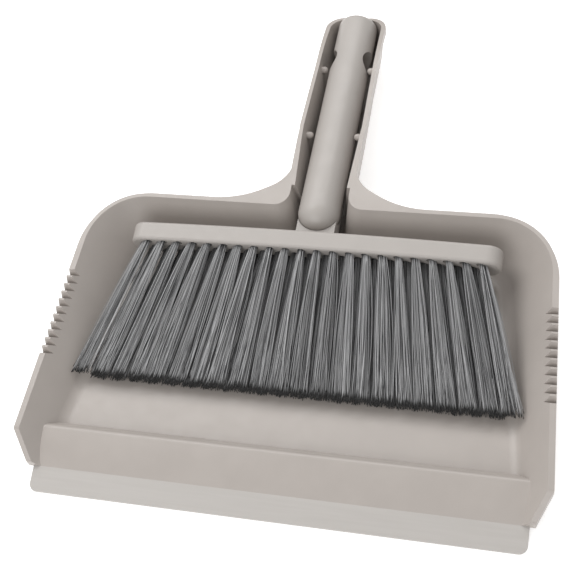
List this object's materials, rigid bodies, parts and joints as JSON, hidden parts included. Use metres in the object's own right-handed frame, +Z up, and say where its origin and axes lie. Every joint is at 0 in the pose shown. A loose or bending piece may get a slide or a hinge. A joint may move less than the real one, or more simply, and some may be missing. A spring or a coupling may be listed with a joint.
{
  "type": "dust pan and brush set",
  "caption": "Hand brush with a wide fanned head that clips into the hollow handle of a flared dust pan with a soft front lip and toothed side walls.",
  "frame": {"origin": "middle of the set's footprint, on the floor it lies on", "axes": "+X to the right seen from the lip, +Y from the pan's lip back to the handle's end, +Z up"},
  "size_m": [0.3128, 0.3496, 0.0414],
  "materials": {
    "pan_plastic": "satin warm grey moulding",
    "lip_elastomer": "soft satin strip",
    "brush_plastic": "fine satin warm grey moulding",
    "bristle_grey": "grey synthetic filament",
    "anchor_steel": "flat wire"
  },
  "bodies": {
    "pan": {"pan_body": "pan_plastic", "lip_strip": "lip_elastomer"},
    "brush": {"brush_block": "brush_plastic", "handle_tube": "brush_plastic", "tuft_anchors": "anchor_steel", "tuft_column_01": "bristle_grey", "tuft_column_02": "bristle_grey", "tuft_column_03": "bristle_grey", "tuft_column_04": "bristle_grey", "tuft_column_05": "bristle_grey", "tuft_column_06": "bristle_grey", "tuft_column_07": "bristle_grey", "tuft_column_08": "bristle_grey", "tuft_column_09": "bristle_grey", "tuft_column_10": "bristle_grey", "tuft_column_11": "bristle_grey", "tuft_column_12": "bristle_grey", "tuft_column_13": "bristle_grey", "tuft_column_14": "bristle_grey", "tuft_column_15": "bristle_grey", "tuft_column_16": "bristle_grey", "tuft_column_17": "bristle_grey", "tuft_column_18": "bristle_grey", "tuft_column_19": "bristle_grey", "tuft_column_20": "bristle_grey", "tuft_column_21": "bristle_grey", "tuft_column_22": "bristle_grey"}
  },
  "joints": [
    {"name": "brush_lift", "type": "slide", "parent": "pan", "child": "brush", "axis": [0, 0, 1], "range_m": [0, 0.12]}
  ]
}
